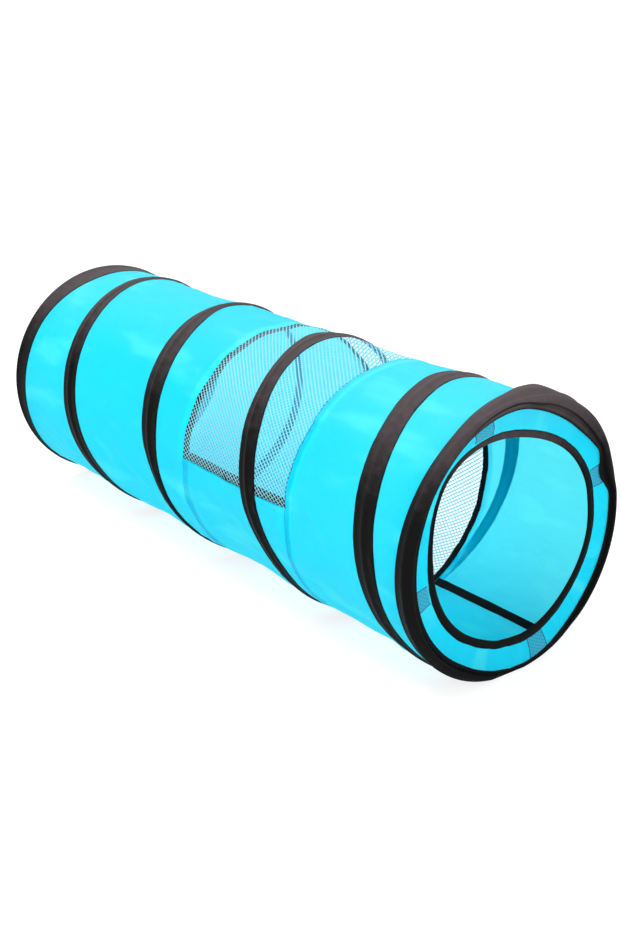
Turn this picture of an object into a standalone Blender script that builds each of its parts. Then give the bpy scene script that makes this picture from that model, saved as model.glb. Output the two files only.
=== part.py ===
# Pop-up play tunnel. Two end hoops of spring wire are joined by one wire coil of four turns.
# Three sewn sections of thin cloth cover the coil, and the middle one is mostly mesh.
# The tunnel lies along X with its near mouth at +X, and its hoops stand on Z = 0.

import math

import bmesh
import bpy
from mathutils import Vector

# Overall sizes, in metres
tunnelLength = 1.249
hoopOuterRadius = 0.228
flatWidth = 0.07
coilTurns = 4
nearCoilInset = 0.009
farCoilInset = 0.02

# Spring wire and its crimped fittings
wireDiameter = 0.0022
sleeveWall = 0.0004
ferruleLength = 0.022
clampLength = 0.014
wireTail = 0.003
buttGap = 0.001

# Thickness of each cloth, and the gap between layers that lie on each other
clothThickness = 0.0005
tapeThickness = 0.0006
bindingThickness = 0.0007
patchThickness = 0.0008
clearance = 0.0003

# Tape that holds the coil to the cloth
tapeWidth = 0.044
tapeRidgeHalf = 0.0026
tapeFold = 0.0005

# Binding round each end hoop: a leg along the wall and a leg down the end face
nearWallLeg = 0.02
farWallLeg = 0.036
hoopFaceLeg = 0.018
hoopCorner = 0.0012

# Cloth ring across each end, with a smaller hoop round the way in
endPanelWidth = 0.0595
innerBindingLeg = 0.0095
endPanelDepth = 0.003
foldShare = 1.25

# The near inner hoop isn't quite round: it bulges towards one side
rimBulge = 0.02
rimBulgeAngle = math.radians(131)
rimBulgeHalf = math.radians(50)

# Sections of the wall, counted back from the near mouth
nearSectionLength = 0.297
meshSectionLength = 0.302
clothSag = 0.0025
meshSag = 0.004

# Mesh window in the middle section, and the seam that runs along the tunnel
meshLowEdgeAngle = math.radians(176)
seamAngle = math.radians(-62)
seamTapeWidth = 0.012
seamTapeGap = 0.001
seamTapeOverlap = 0.002

# The mesh is drawn as a plain grid of openings, far coarser than the real one
openingsAlong = 4
openingsRound = 11
meshBarWidth = 0.02

# Hook-and-loop patches behind each end panel
patchWidth = 0.028
patchAngles = [math.radians(degrees) for degrees in (20, 110, 200, 290)]

# How finely the round pieces are divided
stationCount = 32
nearColumns = 6
meshColumns = 6
farColumns = 12
panelColumns = 2
sleeveSides = 12
mergeDistance = 0.000001

# Colour, roughness and metallic value of each material
looks = {
    "cyan_cloth": ((0.012, 0.79, 1.0, 1.0), 0.6, 0.0),
    "mesh_cloth": ((0.62, 0.75, 0.79, 1.0), 0.7, 0.0),
    "black_tape": ((0.012, 0.011, 0.012, 1.0), 0.65, 0.0),
    "spring_steel": ((0.36, 0.37, 0.38, 1.0), 0.35, 1.0),
    "crimp_steel": ((0.55, 0.56, 0.57, 1.0), 0.4, 1.0),
    "patch_cloth": ((0.045, 0.4, 0.58, 1.0), 0.8, 0.0),
}

# Derived sizes
wireRadius = wireDiameter / 2
innerHoopRadius = hoopOuterRadius - endPanelWidth
flatHalfAngle = math.asin(flatWidth / 2 / hoopOuterRadius)
stationStep = (2 * math.pi - 2 * flatHalfAngle) / (stationCount - 1)
halfLength = tunnelLength / 2
pitch = (tunnelLength - nearCoilInset - farCoilInset) / coilTurns
tapeLift = wireDiameter + clearance
sleeveInner = wireRadius + clearance
sleeveOuter = sleeveInner + sleeveWall
channelHalf = sleeveOuter + clearance
hoopLegRadius = hoopOuterRadius - bindingThickness
axisHeight = hoopLegRadius * math.cos(flatHalfAngle) + bindingThickness
hoopWireRadius = hoopLegRadius - channelHalf
hoopWireInset = bindingThickness + channelHalf
skinRadius = hoopWireRadius - channelHalf
endPanelInset = bindingThickness + clearance + clothThickness / 2
wallInset = endPanelInset + clothThickness / 2 + clearance
endPanelInner = innerHoopRadius + channelHalf + clearance
innerHoopInset = endPanelInset + endPanelDepth
coilWireInset = hoopWireInset + wireDiameter + clearance
nearTapeLimit = halfLength - nearWallLeg - clearance
farTapeLimit = farWallLeg + clearance - halfLength
nearSeam = halfLength - nearSectionLength
farSeam = nearSeam - meshSectionLength
hoopJoint = stationCount // 2 + 1 / 2
rimJoint = stationCount // 4 + 1 / 2


def evenSteps(start, end, count):
    return [start + (end - start) * step / count for step in range(count + 1)]


farStations = evenSteps(wallInset - halfLength, farSeam, farColumns)
meshStations = evenSteps(farSeam, nearSeam, meshColumns)
nearStations = evenSteps(nearSeam, halfLength - wallInset, nearColumns)
wallStations = farStations + meshStations[1:] + nearStations[1:]


# The round pieces are many-sided. A station is a corner of that shape, counted from the flat
# at the bottom, and goes on past a full turn. The last corner to the next turn's first is the flat.
def stationAngle(station):
    turns, index = divmod(station, stationCount)
    return flatHalfAngle - math.pi / 2 + index * stationStep + turns * 2 * math.pi


def angleAt(station):
    whole = math.floor(station)
    low = stationAngle(whole)
    return low + (stationAngle(whole + 1) - low) * (station - whole)


def stationAt(angle):
    firstAngle = stationAngle(0)
    return ((angle - firstAngle) % (2 * math.pi)) / stationStep


def cornerPoint(x, radius, station):
    angle = stationAngle(station)
    return Vector((x, radius * math.cos(angle), axisHeight + radius * math.sin(angle)))


def betweenCorners(station, cornerAt):
    whole = math.floor(station)
    return cornerAt(whole).lerp(cornerAt(whole + 1), station - whole)


def tunnelPoint(x, radius, station):
    return betweenCorners(station, lambda corner: cornerPoint(x, radius, corner))


# A width along one straight side, as a share of that side
def sideShare(width, radius, halfAngle=stationStep / 2):
    return width / (2 * radius * math.sin(halfAngle))


# The coil advances evenly from just inside one hoop, at the bottom, to just inside the other
def coilX(station):
    firstX = farCoilInset - halfLength
    return firstX + pitch * (angleAt(station) + math.pi / 2) / (2 * math.pi)


def onWallStations(x, valueAt):
    inside = min(max(x, wallStations[0]), wallStations[-1])
    cell = 0
    while cell < len(wallStations) - 2 and wallStations[cell + 1] < inside:
        cell += 1
    low, high = wallStations[cell], wallStations[cell + 1]
    share = (inside - low) / (high - low)
    return valueAt(low) * (1 - share) + valueAt(high) * share


# The cloth sinks between one turn of the tape and the next, and deeper in the mesh section
def sagAt(x, station):
    firstTurn = coilX(station % stationCount)
    held = [(-halfLength, farWallLeg), (halfLength, nearWallLeg)]
    held += [(firstTurn + turn * pitch, tapeWidth / 2) for turn in range(coilTurns)]
    held.sort()
    for (low, lowHalf), (high, highHalf) in zip(held, held[1:]):
        start = low + lowHalf
        end = high - highHalf
        if start < x < end:
            across = (x - start) / (end - start)
            share = min(max((x - farSeam) / (nearSeam - farSeam), 0), 1)
            depth = clothSag + (meshSag - clothSag) * math.sin(math.pi * share)
            span = (end - start) / (pitch - tapeWidth)
            return depth * span * span * 4 * across * (1 - across)
    return 0


def wallRadius(x, station):
    return onWallStations(x, lambda place: skinRadius - sagAt(place, station))


def wallPoint(x, station, depth):
    def wallCorner(corner):
        return cornerPoint(x, wallRadius(x, corner) - depth, corner)

    return betweenCorners(station, wallCorner)


# The two ends are alike but for the near bulge: the side is 1 at the near mouth and -1 at the far one
def endX(side, inset):
    return side * (halfLength - inset)


def bulgeAt(side, corner):
    if side < 0:
        return 0
    turned = (stationAngle(corner) - rimBulgeAngle + math.pi) % (2 * math.pi) - math.pi
    share = min(abs(turned) / rimBulgeHalf, 1)
    return rimBulge * math.cos(math.pi / 2 * share) ** 2


# A place on the end panel or on the inner hoop that it carries. The radius is given as it would be
# without the bulge, which grows from nothing at the end hoop to its whole at the inner hoop.
def panelPoint(side, radius, behind, station):
    share = min((skinRadius - radius) / (skinRadius - endPanelInner), 1)
    x = endX(side, endPanelInset + endPanelDepth * share + behind)
    return betweenCorners(
        station,
        lambda corner: cornerPoint(x, radius + share * bulgeAt(side, corner), corner),
    )


def axisCore(point):
    return Vector((point.x, 0, axisHeight))


def endCore(point):
    return Vector((0, point.y, point.z))


def ringCore(x, radius):
    def core(point):
        away = Vector((0, point.y, point.z - axisHeight)).normalized()
        return Vector((x, away.y * radius, axisHeight + away.z * radius))

    return core


bodyOrigins = {
    "near_end": Vector((halfLength, 0, axisHeight)),
    "far_end": Vector((-halfLength, 0, axisHeight)),
    "near_rim": Vector((endX(1, innerHoopInset), 0, axisHeight)),
    "far_rim": Vector((endX(-1, innerHoopInset), 0, axisHeight)),
}


def clearScene():
    for item in list(bpy.data.objects):
        bpy.data.objects.remove(item, do_unlink=True)


def makeCollection():
    collection = bpy.data.collections.new("play_tunnel")
    bpy.context.scene.collection.children.link(collection)
    return collection


def makeBodies(collection):
    bodies = {}
    for name, origin in bodyOrigins.items():
        empty = bpy.data.objects.new(name + "_axis", None)
        empty.empty_display_size = hoopOuterRadius
        empty.location = origin
        collection.objects.link(empty)
        bodies[name] = empty
    bodies["far_end"].parent = bodies["near_end"]
    bodies["far_end"].location = bodyOrigins["far_end"] - bodyOrigins["near_end"]
    for name, holder in (("near_rim", "near_end"), ("far_rim", "far_end")):
        bodies[name].parent = bodies[holder]
        bodies[name].location = bodyOrigins[name] - bodyOrigins[holder]
    return bodies


def paint(piece, look):
    colour, roughness, metallic = looks[look]
    material = bpy.data.materials.new(piece.name + "_" + look)
    material.use_nodes = True
    surface = material.node_tree.nodes["Principled BSDF"]
    surface.inputs["Base Color"].default_value = colour
    surface.inputs["Roughness"].default_value = roughness
    surface.inputs["Metallic"].default_value = metallic
    material.diffuse_color = colour
    piece.data.materials.append(material)


def place(name, data, body, look):
    piece = bpy.data.objects.new(name, data)
    collection.objects.link(piece)
    piece.parent = bodies[body]
    paint(piece, look)
    return piece


# A thin piece: a grid bent to its places, faced away from its core and given a thickness
def sheet(name, body, look, columns, rows, pointAt, core, thickness, inward=False, isOpen=None):
    mesh = bpy.data.meshes.new(name)
    grid = bmesh.new()
    bmesh.ops.create_grid(grid, x_segments=columns, y_segments=rows, size=1)
    if isOpen:
        holes = []
        for face in grid.faces:
            middle = face.calc_center_median()
            column = math.floor((middle.x + 1) / 2 * columns)
            row = math.floor((middle.y + 1) / 2 * rows)
            if isOpen(column, row):
                holes.append(face)
        bmesh.ops.delete(grid, geom=holes, context="FACES")
    for corner in grid.verts:
        column = round((corner.co.x + 1) / 2 * columns)
        row = round((corner.co.y + 1) / 2 * rows)
        corner.co = pointAt(column, row)
    bmesh.ops.remove_doubles(grid, verts=grid.verts, dist=mergeDistance)
    grid.normal_update()
    lean = 0
    for face in grid.faces:
        middle = face.calc_center_median()
        lean += face.calc_area() * face.normal.dot(middle - core(middle))
    if lean < 0:
        bmesh.ops.reverse_faces(grid, faces=grid.faces)
    bmesh.ops.translate(grid, verts=grid.verts, vec=-bodyOrigins[body])
    grid.to_mesh(mesh)
    grid.free()
    mesh.shade_smooth()
    piece = place(name, mesh, body, look)
    solidify = piece.modifiers.new("thickness", "SOLIDIFY")
    solidify.thickness = thickness
    solidify.offset = -1 if inward else 1
    solidify.use_even_offset = True
    return piece


def wire(name, body, points):
    curve = bpy.data.curves.new(name, "CURVE")
    curve.dimensions = "3D"
    curve.bevel_depth = wireRadius
    curve.bevel_resolution = 1
    curve.use_fill_caps = True
    spline = curve.splines.new("POLY")
    spline.points.add(len(points) - 1)
    for target, point in zip(spline.points, points):
        target.co = (*(point - bodyOrigins[body]), 1)
    return place(name, curve, body, "spring_steel")


# Stations from one place to another, with every corner between them
def stationsBetween(low, high):
    corners = range(math.floor(low) + 1, math.ceil(high))
    return [low, *corners, high]


def hoopStations(radius, joint):
    gap = sideShare(buttGap / 2, radius)
    return stationsBetween(joint + gap, joint + stationCount - gap)


# The section of a crimped sleeve: a circle, or two half circles round wires side by side
def sleeveSection(column, spread):
    half, step = divmod(column % sleeveSides, sleeveSides // 2)
    angle = math.pi * (half + step / (sleeveSides // 2 - 1)) - math.pi / 2
    side = spread / 2 if half == 0 else -spread / 2
    return side + sleeveInner * math.cos(angle), sleeveInner * math.sin(angle)


# A crimped sleeve lies along one straight side of its hoop
def sleeve(name, body, x, radius, middle, halfSpan, spread):
    def sleevePoint(column, row):
        along, rise = sleeveSection(column, spread)
        return tunnelPoint(x + along, radius + rise, middle + halfSpan * (2 * row - 1))

    core = ringCore(x, radius)
    return sheet(name, body, "crimp_steel", sleeveSides, 1, sleevePoint, core, sleeveWall)


# An end hoop: its wire, the ferrule that closes the wire, and the folded binding round both
def makeEndHoop(end, side):
    body = end + "_end"
    wireX = endX(side, hoopWireInset)
    stations = hoopStations(hoopWireRadius, hoopJoint)
    points = [tunnelPoint(wireX, hoopWireRadius, station) for station in stations]
    wire(end + "_hoop_wire", body, points)
    halfSpan = sideShare(ferruleLength / 2, hoopWireRadius)
    sleeve(end + "_hoop_ferrule", body, wireX, hoopWireRadius, hoopJoint, halfSpan, 0)
    profile = [
        (nearWallLeg if side > 0 else farWallLeg, hoopLegRadius),
        (bindingThickness + hoopCorner, hoopLegRadius),
        (bindingThickness, hoopLegRadius - hoopCorner),
        (bindingThickness, hoopOuterRadius - hoopFaceLeg),
    ]

    def bindingPoint(column, row):
        inset, radius = profile[column]
        return tunnelPoint(endX(side, inset), radius, row)

    sheet(
        end + "_hoop_binding",
        body,
        "black_tape",
        len(profile) - 1,
        stationCount,
        bindingPoint,
        ringCore(wireX, hoopWireRadius),
        bindingThickness,
    )


# The cloth ring across an end, and the hook-and-loop patches sewn behind it
def makeEndPanel(end, side):
    body = end + "_end"

    def ringPoint(column, row):
        radius = skinRadius + (endPanelInner - skinRadius) * column / panelColumns
        return panelPoint(side, radius, clothThickness / 2, row)

    sheet(
        end + "_end_panel",
        body,
        "cyan_cloth",
        panelColumns,
        stationCount,
        ringPoint,
        endCore,
        clothThickness,
    )
    for number, angle in enumerate(patchAngles, 1):
        makePatch(f"{end}_patch_{number}", body, side, stationAt(angle))


def makePatch(name, body, side, middle):
    outer = skinRadius - clothThickness - seamTapeGap
    inner = innerHoopRadius + innerBindingLeg + seamTapeGap

    def patchPoint(column, row):
        radius = outer + (inner - outer) * column
        station = middle + sideShare(patchWidth, radius) * (row - 1) / 2
        return panelPoint(side, radius, clothThickness / 2 + clearance, station)

    sheet(name, body, "patch_cloth", 1, 2, patchPoint, endCore, patchThickness, inward=True)


# The smaller hoop at the inner edge of the end panel, with its own wire, ferrule and binding
def makeInnerHoop(end, side):
    body = end + "_rim"
    wireX = endX(side, innerHoopInset)
    stations = hoopStations(innerHoopRadius, rimJoint)
    points = [panelPoint(side, innerHoopRadius, 0, station) for station in stations]
    wire(end + "_rim_wire", body, points)
    halfSpan = sideShare(ferruleLength / 2, innerHoopRadius)
    sleeve(end + "_rim_ferrule", body, wireX, innerHoopRadius, rimJoint, halfSpan, 0)
    edgeHalf = clothThickness / 2 + clearance
    profile = [
        (-edgeHalf, innerHoopRadius + innerBindingLeg),
        (-channelHalf, innerHoopRadius + channelHalf),
        (-channelHalf, innerHoopRadius - channelHalf / 2),
        (0, innerHoopRadius - channelHalf * foldShare),
        (channelHalf, innerHoopRadius - channelHalf / 2),
        (channelHalf, innerHoopRadius + channelHalf),
        (edgeHalf, innerHoopRadius + innerBindingLeg),
    ]

    def bindingPoint(column, row):
        across, radius = profile[column]
        return panelPoint(side, radius, across, row)

    sheet(
        end + "_rim_binding",
        body,
        "black_tape",
        len(profile) - 1,
        stationCount,
        bindingPoint,
        ringCore(wireX, innerHoopRadius),
        bindingThickness,
    )


# The coil lies on the taut cloth. Under a binding it closes up to the hoop's wire, and rises to it.
def coilPoint(station):
    x = coilX(station)
    side, leg, lastInset = (1, nearWallLeg, nearCoilInset) if x > 0 else (-1, farWallLeg, farCoilInset)
    under = max(0, (leg - halfLength + abs(x)) / (leg - lastInset))
    x += side * (lastInset - coilWireInset) * under
    free = skinRadius + clearance + wireRadius
    return tunnelPoint(x, free + (hoopWireRadius - free) * under, station)


def makeCoil():
    flatShare = sideShare(clampLength + 2 * wireTail, hoopWireRadius, flatHalfAngle)
    lastStation = coilTurns * stationCount - 1
    nearX, farX = endX(1, coilWireInset), endX(-1, coilWireInset)
    points = [tunnelPoint(farX, hoopWireRadius, -1 / 2)]
    points.append(tunnelPoint(farX, hoopWireRadius, flatShare - 1 / 2))
    points += [coilPoint(station) for station in range(lastStation + 1)]
    points.append(tunnelPoint(nearX, hoopWireRadius, lastStation + 1 / 2 - flatShare))
    points.append(tunnelPoint(nearX, hoopWireRadius, lastStation + 1 / 2))
    wire("coil_wire", "near_end", points)
    halfSpan = sideShare(clampLength / 2, hoopWireRadius, flatHalfAngle)
    spread = wireDiameter + clearance
    for end, side, start in (("near", 1, lastStation + 1 / 2), ("far", -1, -1 / 2)):
        x = endX(side, hoopWireInset + spread / 2)
        middle = start - side * flatShare / 2
        sleeve(end + "_coil_clamp", end + "_end", x, hoopWireRadius, middle, halfSpan, spread)
    turn = stationCount
    gaps = [(high - low).length for low, high in zip(points[2:-2], points[2 + turn : -2])]
    print(f"least gap between turns of the coil: {(min(gaps) - wireDiameter) * 1000:.1f} mm")
    print(f"least gap between turns of its tape: {(pitch - tapeWidth) * 1000:.1f} mm")


# The tape is a long strip that bridges the wire. Its edge is tucked in where it meets a hoop.
def makeTape():
    offsets = [-tapeWidth / 2, -tapeRidgeHalf, tapeRidgeHalf, tapeWidth / 2]
    last = len(offsets) - 1

    def tapePoint(column, row):
        middle = coilX(row)
        lowest = farTapeLimit + column * tapeFold
        highest = nearTapeLimit - (last - column) * tapeFold
        x = min(max(middle + offsets[column], lowest), highest)
        slope = (tapeWidth / 2 - abs(x - middle)) / (tapeWidth / 2 - tapeRidgeHalf)
        lift = tapeLift * min(max(slope, 0), 1)
        return tunnelPoint(x, skinRadius + clearance + lift, row)

    rows = coilTurns * stationCount - 1
    sheet("coil_tape", "near_end", "black_tape", last, rows, tapePoint, axisCore, tapeThickness)


def wallSheet(name, look, places, stations, isOpen=None):
    def wallCorner(column, row):
        return wallPoint(places[column], stations[row], 0)

    sheet(
        name,
        "near_end",
        look,
        len(places) - 1,
        len(stations) - 1,
        wallCorner,
        axisCore,
        clothThickness,
        inward=True,
        isOpen=isOpen,
    )


# Each section stops just short of its neighbour at a seam
def between(places, low, high):
    return [low, *(place for place in places if low < place < high), high]


# Even openings with a bar before, between and after them
def openingSpans(low, high, count, bar):
    step = (high - low - bar) / count
    return [(low + bar + step * number, low + step * (number + 1)) for number in range(count)]


def withEdges(places, spans):
    return sorted([*places, *(edge for span in spans for edge in span)])


def inSpan(places, cell, spans):
    middle = (places[cell] + places[cell + 1]) / 2
    return any(low < middle < high for low, high in spans)


def makeMeshPanel(places, stations):
    spansAlong = openingSpans(places[0], places[-1], openingsAlong, meshBarWidth)
    bar = sideShare(meshBarWidth, skinRadius)
    spansRound = openingSpans(stations[0], stations[-1], openingsRound, bar)
    places = withEdges(places, spansAlong)
    stations = withEdges(stations, spansRound)

    def isOpen(column, row):
        return inSpan(places, column, spansAlong) and inSpan(stations, row, spansRound)

    wallSheet("mesh_panel", "mesh_cloth", places, stations, isOpen)


def makeWalls():
    ring = list(range(stationCount + 1))
    halfGap = clearance / 2
    farEdge = farSeam - halfGap
    nearEdge = nearSeam + halfGap
    wallSheet("far_wall", "cyan_cloth", between(farStations, farStations[0], farEdge), ring)
    wallSheet("near_wall", "cyan_cloth", between(nearStations, nearEdge, nearStations[-1]), ring)
    middle = between(meshStations, farSeam + halfGap, nearSeam - halfGap)
    gap = sideShare(halfGap, skinRadius)
    lowEdge = stationAt(meshLowEdgeAngle)
    seam = stationAt(seamAngle)
    makeMeshPanel(middle, stationsBetween(seam + gap, lowEdge - gap))
    floor = stationsBetween(lowEdge + gap, seam + stationCount - gap)
    wallSheet("floor_panel", "cyan_cloth", middle, floor)


def seamTape(name, places, stations):
    def seamCorner(column, row):
        return wallPoint(places[column], stations[row], clothThickness + clearance)

    sheet(
        name,
        "near_end",
        "black_tape",
        len(places) - 1,
        len(stations) - 1,
        seamCorner,
        axisCore,
        tapeThickness,
        inward=True,
    )


# Black tape covers every seam on the inside. Round a seam it lies mostly on the side of the near
# mouth, and along the mesh window's low edge it lies mostly on the mesh.
def makeSeamTapes():
    after = seamTapeWidth - seamTapeOverlap
    ring = list(range(stationCount + 1))
    for name, seam in (("far_seam_tape", farSeam), ("near_seam_tape", nearSeam)):
        seamTape(name, [seam - seamTapeOverlap, seam, seam + after], ring)
    halfShare = sideShare(seamTapeWidth / 2, skinRadius)
    startGap = after + seamTapeGap
    endGap = seamTapeOverlap + seamTapeGap
    sections = {
        "far": (farWallLeg - halfLength, farSeam - endGap),
        "mesh": (farSeam + startGap, nearSeam - endGap),
        "near": (nearSeam + startGap, halfLength - nearWallLeg),
    }
    for section, (start, end) in sections.items():
        places = between(wallStations, start, end)
        seam = stationAt(seamAngle)
        stations = stationsBetween(seam - halfShare, seam + halfShare)
        seamTape(section + "_long_seam_tape", places, stations)
    lowEdge = stationAt(meshLowEdgeAngle)
    onMesh = sideShare(after, skinRadius)
    onFloor = sideShare(seamTapeOverlap, skinRadius)
    stations = stationsBetween(lowEdge - onMesh, lowEdge + onFloor)
    places = between(wallStations, *sections["mesh"])
    seamTape("mesh_edge_tape", places, stations)


clearScene()
collection = makeCollection()
bodies = makeBodies(collection)
for end, side in (("near", 1), ("far", -1)):
    makeEndHoop(end, side)
    makeEndPanel(end, side)
    makeInnerHoop(end, side)
makeCoil()
makeTape()
makeWalls()
makeSeamTapes()
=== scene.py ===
# Dresses the pop-up play tunnel: thin cyan taffeta on a wire coil, a net window, charcoal tapes
# and bindings, and a soft white studio. Lengths are in metres, the near mouth is at +X.

import math
from functools import partial

import bpy
import numpy as np
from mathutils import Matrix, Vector, noise


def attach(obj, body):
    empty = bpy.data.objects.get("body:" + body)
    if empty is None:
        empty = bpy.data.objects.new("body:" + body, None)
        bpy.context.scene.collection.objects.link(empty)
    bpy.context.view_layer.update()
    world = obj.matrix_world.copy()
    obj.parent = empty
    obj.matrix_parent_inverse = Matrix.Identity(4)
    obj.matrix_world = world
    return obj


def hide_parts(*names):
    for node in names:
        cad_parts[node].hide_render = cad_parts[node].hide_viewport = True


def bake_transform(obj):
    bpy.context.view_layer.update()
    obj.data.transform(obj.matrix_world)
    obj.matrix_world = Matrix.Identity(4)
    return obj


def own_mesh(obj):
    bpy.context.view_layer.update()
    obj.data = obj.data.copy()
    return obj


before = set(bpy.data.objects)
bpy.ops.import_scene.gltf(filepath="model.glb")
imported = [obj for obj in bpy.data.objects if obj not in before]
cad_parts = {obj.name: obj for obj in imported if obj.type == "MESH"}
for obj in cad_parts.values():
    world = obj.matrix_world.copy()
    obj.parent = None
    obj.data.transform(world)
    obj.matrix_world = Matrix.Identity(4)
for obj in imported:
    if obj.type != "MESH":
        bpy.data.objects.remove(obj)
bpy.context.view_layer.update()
print("frame loaded:", len(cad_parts), "nodes")

# Sizes shared by all pieces, the same as in the part's source
tunnel = {
    "length": 1.249,
    "hoopOuterRadius": 0.228,
    "skinRadius": 0.2231,
    "rimRadius": 0.1685,
    "flatWidth": 0.07,
    "axisHeight": 0.22531,
    "coilTurns": 4,
    "nearCoilInset": 0.009,
    "farCoilInset": 0.02,
    "tapeWidth": 0.044,
    "nearWallLeg": 0.02,
    "farWallLeg": 0.036,
    "nearSection": 0.297,
    "meshSection": 0.302,
    "clothSag": 0.0025,
    "meshSag": 0.004,
    "netLowEdge": math.radians(176),
    "seamAngle": math.radians(-62),
    "shortest": 0.06,
    "foldClear": 0.006,  # cloth this close to a hoop stays with it when the tunnel is pressed flat
}
fullTurn = 2 * math.pi
bottom = -math.pi / 2
halfLength = tunnel["length"] / 2
skinRadius = tunnel["skinRadius"]
axisHeight = tunnel["axisHeight"]
foldClear = tunnel["foldClear"]
pitch = (tunnel["length"] - tunnel["nearCoilInset"] - tunnel["farCoilInset"]) / tunnel["coilTurns"]
nearSeam = halfLength - tunnel["nearSection"]
farSeam = nearSeam - tunnel["meshSection"]
lowEdge, seamAngle = tunnel["netLowEdge"], tunnel["seamAngle"]
flatHalfAngle = math.asin(tunnel["flatWidth"] / 2 / tunnel["hoopOuterRadius"])


def addObject(name, data):
    made = bpy.data.objects.new(name, data)
    bpy.context.scene.collection.objects.link(made)
    return made


def turnTo(thing, direction, axis):
    thing.rotation_mode = "QUATERNION"
    thing.rotation_quaternion = Vector(direction).to_track_quat(axis, "Y")


# Camera, from fitting the hoops and the coil to the photo
cameraPlan = {
    "place": (1.9379, -1.3945, 1.0285),
    "forward": (-0.74867, 0.57044, -0.33777),
    "lens": 52.046,
    "sensor": 36,
    "clip": (0.05, 60),
}


def makeCamera():
    data = bpy.data.cameras.new("photo_camera")
    data.lens = cameraPlan["lens"]
    data.sensor_width = cameraPlan["sensor"]
    data.sensor_fit = "AUTO"
    data.clip_start, data.clip_end = cameraPlan["clip"]
    camera = addObject("photo_camera", data)
    camera.location = cameraPlan["place"]
    turnTo(camera, cameraPlan["forward"], "-Z")
    bpy.context.scene.camera = camera


makeCamera()


# Tools for materials
# A scale is how often a pattern comes in a metre. Every fabric piece has the cloth map, a UV map in
# metres along its own threads.
clothMap = "clothMap"
waveBands = fullTurn / 20  # a wave texture's bands lie this far apart at scale 1
slantBands = waveBands * math.sqrt(2)  # and its slanting bands this far


def linearColour(hexValue):
    shares = [int(hexValue[place : place + 2], 16) / 255 for place in (1, 3, 5)]
    bent = [share / 12.92 if share <= 0.04045 else ((share + 0.055) / 1.055) ** 2.4 for share in shares]
    return (*bent, 1.0)


# Adds one node. Inputs are named or numbered, and each takes a value, another node's socket, or
# another node, which stands for its first output.
def addNode(tree, kind, inputs, **settings):
    made = tree.nodes.new("ShaderNode" + kind)
    for name, value in settings.items():
        setattr(made, name, value)
    for key, value in inputs.items():
        if isinstance(value, bpy.types.Node):
            value = value.outputs[0]
        if isinstance(value, bpy.types.NodeSocket):
            tree.links.new(value, made.inputs[key])
        else:
            made.inputs[key].default_value = value
    return made


# A bare material, with what adds nodes to it
def newMaterial(name):
    material = bpy.data.materials.new(name)
    material.use_nodes = True
    material.node_tree.nodes.clear()
    return material, partial(addNode, material.node_tree)


# Lays a material's other colours over its first, each by a share
def layColours(add, plan, layers):
    colour = linearColour(plan["colour"])
    for share, name in layers:
        laid = add("Mix", {0: share, 6: colour, 7: linearColour(plan[name])}, data_type="RGBA")
        colour = laid.outputs[2]
    return colour


def distanceFrom(add, place, middle):
    offset = add("Math", {0: place, 1: middle}, operation="SUBTRACT")
    return add("Math", {0: offset}, operation="ABSOLUTE")


# How much painted light from above lies on a surface, between two heights that noise makes uneven
def topLightShare(add, uneven, mottle, low, high, most=1.0):
    place = add("TexCoord", {})
    height = add("SeparateXYZ", {0: place.outputs["Object"]})
    mottled = add("Math", {0: uneven, 1: mottle, 2: height.outputs[2]}, operation="MULTIPLY_ADD")
    heights = {1: low + mottle / 2, 2: high + mottle / 2}
    return add("MapRange", {0: mottled, 4: most, **heights}, interpolation_type="SMOOTHSTEP")


# Polyester taffeta, plain woven and dyed cyan: thin, smooth, lets light through, with faint crinkles,
# slanting folds with painted pale sheen along them, and a painted pale sky reflection on its top. It is a
# double layer along the two round seams.
taffeta = {
    "colour": "#00D9FF",
    "shade": "#00CEFA",
    # Painted sheen colour on the slanting folds
    "streakSheen": "#48EBFF",
    # Painted pale reflection of the sky on the cloth's top, laid by height
    "topReflection": "#A8F3FF",
    "topReflectionHeights": (0.34, 0.47),
    "topReflectionMost": 0.2,
    "mottle": 0.06,
    "through": "#6CFDFF",
    "throughShare": 0.58,
    "finish": {
        "Roughness": 0.45,
        "IOR": 1.5,
        "Specular IOR Level": 0.07,
        "Sheen Weight": 0.05,
        "Sheen Roughness": 0.3,
    },
    "threadSpacing": 0.0024,  # real threads are 0.2 mm apart, drawn coarser so that they show
    "threadBump": {"Strength": 0.12, "Distance": 0.0003},
    "clouds": {"Scale": 9, "Detail": 3.0, "Roughness": 0.6},
    "crinkles": {"Scale": 1 / 0.018, "Detail": 4.0, "Roughness": 0.62},
    "crinkleBump": {"Strength": 0.4, "Distance": 0.003},
    "streakSize": (0.19, 0.055),
    "streakLean": math.radians(58),
    "streakRange": (0.52, 0.7),
    "streakMost": 0.85,
    "streakBump": {"Strength": 0.6, "Distance": 0.014},
    "seamHalf": 0.017,
    "seamBlur": 0.006,
    "seamThrough": 0.5,
}


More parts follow.
